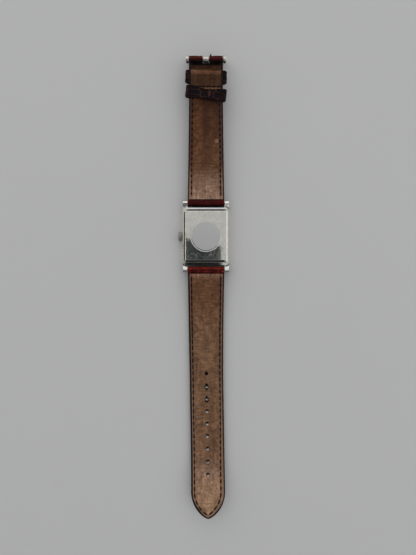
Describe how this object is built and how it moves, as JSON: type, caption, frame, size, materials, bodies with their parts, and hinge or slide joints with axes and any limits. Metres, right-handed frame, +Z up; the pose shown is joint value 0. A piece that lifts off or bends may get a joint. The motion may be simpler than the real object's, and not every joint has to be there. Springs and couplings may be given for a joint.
{
  "type": "wristwatch",
  "caption": "Rectangular steel wristwatch with a bevelled back, fluted crown, padded leather strap, two keepers and a pin buckle, lying face down.",
  "frame": {"origin": "centre of the crystal's outer face, which the watch lies on", "axes": "+Z up through the case to the back, +Y along the strap to the buckle (twelve o'clock), crown at -X"},
  "size_m": [0.0248, 0.2227, 0.011],
  "materials": {
    "steel": "polished stainless steel, worn",
    "back_steel": "polished stainless steel with a frosted disc",
    "bar_steel": "drawn stainless steel",
    "movement_steel": "nickel-plated steel",
    "buckle_steel": "polished stainless steel",
    "iron": "bare magnetic alloy",
    "brass": "turned brass",
    "gilt": "gilt spring strip",
    "copper": "enamelled copper wire",
    "markers": "polished applied batons",
    "hands": "dark lacquer",
    "dial": "matt silvered",
    "board": "lacquered circuit board",
    "grey_plastic": "moulded",
    "black_rubber": "moulded seal",
    "seal": "translucent nylon seal",
    "crystal": "flat mineral glass",
    "face_leather": "glossy burgundy leather with a pressed scale grain",
    "keeper_leather": "glossy burgundy leather with a pressed scale grain",
    "lining_leather": "worn brown lining leather, matt",
    "padding": "felted fibre padding"
  },
  "bodies": {
    "case": {"case_middle": "steel", "case_back": "back_steel", "back_gasket": "black_rubber", "crystal": "crystal", "crystal_gasket": "seal", "crown_tube": "steel", "dial": "dial", "hour_markers": "markers", "movement_ring": "grey_plastic", "main_plate": "brass", "train_bridge": "movement_steel", "movement_screws": "movement_steel", "button_cell": "movement_steel", "cell_clamp": "gilt", "circuit_board": "board", "quartz_can": "movement_steel", "stator": "iron", "coil_core": "iron", "coil": "copper", "top_bar_barrel": "bar_steel", "top_bar_spring": "bar_steel", "bottom_bar_barrel": "bar_steel", "bottom_bar_spring": "bar_steel"},
    "clutch_body": {"clutch": "movement_steel"},
    "crown_body": {"crown": "steel", "stem": "movement_steel", "crown_gasket": "black_rubber"},
    "setting_lever_body": {"setting_lever": "movement_steel"},
    "minute_arbor": {"minute_hand": "hands", "cannon_pinion": "brass", "centre_wheel": "brass"},
    "hour_arbor": {"hour_hand": "hands", "hour_wheel": "brass"},
    "minute_wheel_body": {"minute_wheel": "brass"},
    "setting_wheel_body": {"setting_wheel": "brass"},
    "reduction_wheel_body": {"reduction_wheel": "brass"},
    "rotor_body": {"rotor": "iron"},
    "top_left_tip": {"top_bar_left_tip": "bar_steel"},
    "top_right_tip": {"top_bar_right_tip": "bar_steel"},
    "bottom_left_tip": {"bottom_bar_left_tip": "bar_steel"},
    "bottom_right_tip": {"bottom_bar_right_tip": "bar_steel"},
    "short_strap": {"short_strap_face": "face_leather", "short_strap_padding": "padding", "short_strap_lining": "lining_leather", "fixed_keeper": "keeper_leather"},
    "long_strap": {"long_strap_face": "face_leather", "long_strap_padding": "padding", "long_strap_lining": "lining_leather"},
    "loose_keeper_body": {"loose_keeper": "keeper_leather"},
    "buckle": {"buckle_frame": "buckle_steel", "buckle_bar_barrel": "bar_steel", "buckle_bar_spring": "bar_steel"},
    "buckle_left_tip": {"buckle_bar_left_tip": "bar_steel"},
    "buckle_right_tip": {"buckle_bar_right_tip": "bar_steel"},
    "tongue": {"buckle_tongue": "buckle_steel"}
  },
  "joints": [
    {"name": "clutch_turn", "type": "hinge", "parent": "case", "child": "clutch_body", "pos_m": [0, 0, 0.0034], "axis": [1, 0, 0], "continuous": true},
    {"name": "crown_pull", "type": "slide", "parent": "clutch_body", "child": "crown_body", "axis": [-1, 0, 0], "range_m": [0, 0.001]},
    {"name": "setting_lever_swing", "type": "hinge", "parent": "case", "child": "setting_lever_body", "pos_m": [-0.0066, 0.0032, 0.0041], "axis": [0, 0, -1], "range_deg": [0, 19]},
    {"name": "minute_hand_turn", "type": "hinge", "parent": "case", "child": "minute_arbor", "pos_m": [0, 0, 0.0016], "axis": [0, 0, 1], "continuous": true},
    {"name": "hour_hand_turn", "type": "hinge", "parent": "case", "child": "hour_arbor", "pos_m": [0, 0, 0.0019], "axis": [0, 0, 1], "continuous": true},
    {"name": "minute_wheel_turn", "type": "hinge", "parent": "case", "child": "minute_wheel_body", "pos_m": [-0.00157, -0.00157, 0.0031], "axis": [0, 0, 1], "continuous": true},
    {"name": "setting_wheel_turn", "type": "hinge", "parent": "case", "child": "setting_wheel_body", "pos_m": [-0.00399, -0.00127, 0.0031], "axis": [0, 0, 1], "continuous": true},
    {"name": "reduction_wheel_turn", "type": "hinge", "parent": "case", "child": "reduction_wheel_body", "pos_m": [0.00182, 0.00182, 0.0045], "axis": [0, 0, 1], "continuous": true},
    {"name": "rotor_turn", "type": "hinge", "parent": "case", "child": "rotor_body", "pos_m": [0.00182, 0.00415, 0.0043], "axis": [0, 0, 1], "continuous": true},
    {"name": "top_left_tip_slide", "type": "slide", "parent": "case", "child": "top_left_tip", "axis": [1, 0, 0], "range_m": [0, 0.001], "stiffness_N_per_m": 1000, "springref_m": -0.0006, "deforming": ["top_bar_spring"]},
    {"name": "top_right_tip_slide", "type": "slide", "parent": "case", "child": "top_right_tip", "axis": [-1, 0, 0], "range_m": [0, 0.001], "stiffness_N_per_m": 1000, "springref_m": -0.0006, "deforming": ["top_bar_spring"]},
    {"name": "bottom_left_tip_slide", "type": "slide", "parent": "case", "child": "bottom_left_tip", "axis": [1, 0, 0], "range_m": [0, 0.001], "stiffness_N_per_m": 1000, "springref_m": -0.0006, "deforming": ["bottom_bar_spring"]},
    {"name": "bottom_right_tip_slide", "type": "slide", "parent": "case", "child": "bottom_right_tip", "axis": [-1, 0, 0], "range_m": [0, 0.001], "stiffness_N_per_m": 1000, "springref_m": -0.0006, "deforming": ["bottom_bar_spring"]},
    {"name": "short_strap_swing", "type": "hinge", "parent": "case", "child": "short_strap", "pos_m": [0, 0.016, 0.0042], "axis": [1, 0, 0], "range_deg": [-60, 90]},
    {"name": "long_strap_swing", "type": "hinge", "parent": "case", "child": "long_strap", "pos_m": [0, -0.016, 0.0042], "axis": [-1, 0, 0], "range_deg": [-60, 90]},
    {"name": "keeper_slide", "type": "slide", "parent": "short_strap", "child": "loose_keeper_body", "axis": [0, -0.9954, -0.0958], "range_m": [0, 0.01]},
    {"name": "buckle_swing", "type": "hinge", "parent": "short_strap", "child": "buckle", "pos_m": [0, 0.08306, 0.00907], "axis": [1, 0, 0], "range_deg": [-25, 110]},
    {"name": "tongue_swing", "type": "hinge", "parent": "buckle", "child": "tongue", "pos_m": [0, 0.08306, 0.00907], "axis": [-1, 0, 0], "range_deg": [0, 40]},
    {"name": "buckle_left_tip_slide", "type": "slide", "parent": "buckle", "child": "buckle_left_tip", "axis": [1, 0, 0], "range_m": [0, 0.001], "stiffness_N_per_m": 1000, "springref_m": -0.0006, "deforming": ["buckle_bar_spring"]},
    {"name": "buckle_right_tip_slide", "type": "slide", "parent": "buckle", "child": "buckle_right_tip", "axis": [-1, 0, 0], "range_m": [0, 0.001], "stiffness_N_per_m": 1000, "springref_m": -0.0006, "deforming": ["buckle_bar_spring"]}
  ],
  "couplings": [
    {"joint": "setting_lever_swing", "follows": "crown_pull", "rad_per_m": 320},
    {"joint": "hour_hand_turn", "follows": "minute_hand_turn", "ratio": 0.083333},
    {"joint": "minute_wheel_turn", "follows": "minute_hand_turn", "ratio": -0.33333},
    {"joint": "setting_wheel_turn", "follows": "minute_hand_turn", "ratio": 0.71429},
    {"joint": "reduction_wheel_turn", "follows": "minute_hand_turn", "ratio": -9},
    {"joint": "rotor_turn", "follows": "minute_hand_turn", "ratio": 90}
  ]
}
